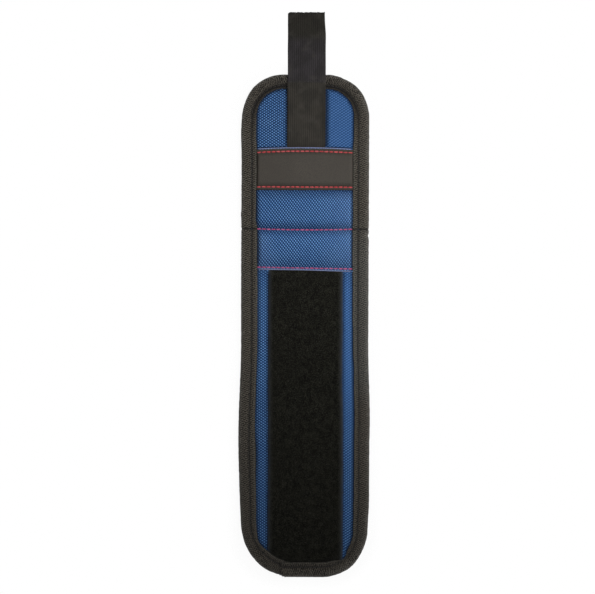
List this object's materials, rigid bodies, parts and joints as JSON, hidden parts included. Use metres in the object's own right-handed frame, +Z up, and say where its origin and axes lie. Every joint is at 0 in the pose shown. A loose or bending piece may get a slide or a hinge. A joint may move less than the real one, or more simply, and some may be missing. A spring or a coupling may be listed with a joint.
{
  "type": "magnetic wristband",
  "caption": "Padded cloth wristband, bound all round, with magnets in sewn pockets, a bare label band, a long loop-pile patch and a hooked pull tab that closes it round the wrist.",
  "frame": {"origin": "under the middle of the whole length and width, on the surface that the opened band lies on", "axes": "+X across the band, +Y along it towards the pull tab, +Z up, away from the wrist"},
  "size_m": [0.0874, 0.3764, 0.0071],
  "materials": {
    "face_fabric": "matte",
    "lining_mesh": "matte",
    "edge_binding": "matte",
    "label_leatherette": "matte",
    "loop_pile": "matte",
    "tab_webbing": "matte",
    "hook_tape": "matte",
    "seam_thread": "matte",
    "magnet_nickel": "polished",
    "carrier_plastic": "matte"
  },
  "bodies": {
    "tab_end": {"face_tab_end": "face_fabric", "lining_tab_end": "lining_mesh", "binding_tab_end": "edge_binding", "tab_webbing_sewn": "tab_webbing"},
    "row_1": {"face_row_1": "face_fabric", "lining_row_1": "lining_mesh", "binding_left_row_1": "edge_binding", "binding_right_row_1": "edge_binding", "pocket_panel_row_1": "face_fabric", "label_band": "label_leatherette", "magnet_carrier_1": "carrier_plastic", "magnet_1_1": "magnet_nickel", "magnet_1_2": "magnet_nickel", "magnet_1_3": "magnet_nickel"},
    "row_2": {"face_row_2": "face_fabric", "lining_row_2": "lining_mesh", "binding_left_row_2": "edge_binding", "binding_right_row_2": "edge_binding", "pocket_panel_row_2": "face_fabric", "magnet_carrier_2": "carrier_plastic", "magnet_2_1": "magnet_nickel", "magnet_2_2": "magnet_nickel", "magnet_2_3": "magnet_nickel"},
    "row_3": {"face_row_3": "face_fabric", "lining_row_3": "lining_mesh", "binding_left_row_3": "edge_binding", "binding_right_row_3": "edge_binding", "pocket_panel_row_3": "face_fabric", "magnet_carrier_3": "carrier_plastic", "magnet_3_1": "magnet_nickel", "magnet_3_2": "magnet_nickel", "magnet_3_3": "magnet_nickel"},
    "bay_1": {"face_bay_1": "face_fabric", "lining_bay_1": "lining_mesh", "binding_left_bay_1": "edge_binding", "binding_right_bay_1": "edge_binding", "loop_pile_bay_1": "loop_pile"},
    "bay_2": {"face_bay_2": "face_fabric", "lining_bay_2": "lining_mesh", "binding_left_bay_2": "edge_binding", "binding_right_bay_2": "edge_binding", "loop_pile_bay_2": "loop_pile"},
    "bay_3": {"face_bay_3": "face_fabric", "lining_bay_3": "lining_mesh", "binding_left_bay_3": "edge_binding", "binding_right_bay_3": "edge_binding", "loop_pile_bay_3": "loop_pile"},
    "bay_4": {"face_bay_4": "face_fabric", "lining_bay_4": "lining_mesh", "binding_left_bay_4": "edge_binding", "binding_right_bay_4": "edge_binding", "loop_pile_bay_4": "loop_pile"},
    "plain_end": {"face_plain_end": "face_fabric", "lining_plain_end": "lining_mesh", "binding_plain_end": "edge_binding", "loop_pile_plain_end": "loop_pile"},
    "pull_tab": {"tab_webbing_free": "tab_webbing", "tab_hook_patch": "hook_tape"}
  },
  "joints": [
    {"name": "bend_row_1", "type": "hinge", "parent": "row_2", "child": "row_1", "pos_m": [0, 0.0694, 0], "axis": [-1, 0, 0], "range_deg": [0, 28.5]},
    {"name": "bend_tab_end", "type": "hinge", "parent": "row_1", "child": "tab_end", "pos_m": [0, 0.0983, 0], "axis": [-1, 0, 0], "range_deg": [0, 41.1]},
    {"name": "tab_fold", "type": "hinge", "parent": "tab_end", "child": "pull_tab", "pos_m": [0.0009, 0.15535, 0.0058], "axis": [-1, 0, 0], "range_deg": [-120, 53.7]},
    {"name": "bend_row_3", "type": "hinge", "parent": "row_2", "child": "row_3", "pos_m": [0, 0.04365, 0], "axis": [1, 0, 0], "range_deg": [0, 27.9]},
    {"name": "bend_bay_1", "type": "hinge", "parent": "row_3", "child": "bay_1", "pos_m": [0, 0.0159, 0], "axis": [1, 0, 0], "range_deg": [0, 36.1]},
    {"name": "bend_bay_2", "type": "hinge", "parent": "bay_1", "child": "bay_2", "pos_m": [0, -0.02491, 0], "axis": [1, 0, 0], "range_deg": [0, 43.2]},
    {"name": "bend_bay_3", "type": "hinge", "parent": "bay_2", "child": "bay_3", "pos_m": [0, -0.06572, 0], "axis": [1, 0, 0], "range_deg": [0, 43.2]},
    {"name": "bend_bay_4", "type": "hinge", "parent": "bay_3", "child": "bay_4", "pos_m": [0, -0.10653, 0], "axis": [1, 0, 0], "range_deg": [0, 43.2]},
    {"name": "bend_plain_end", "type": "hinge", "parent": "bay_4", "child": "plain_end", "pos_m": [0, -0.14734, 0], "axis": [1, 0, 0], "range_deg": [0, 43.2]}
  ]
}
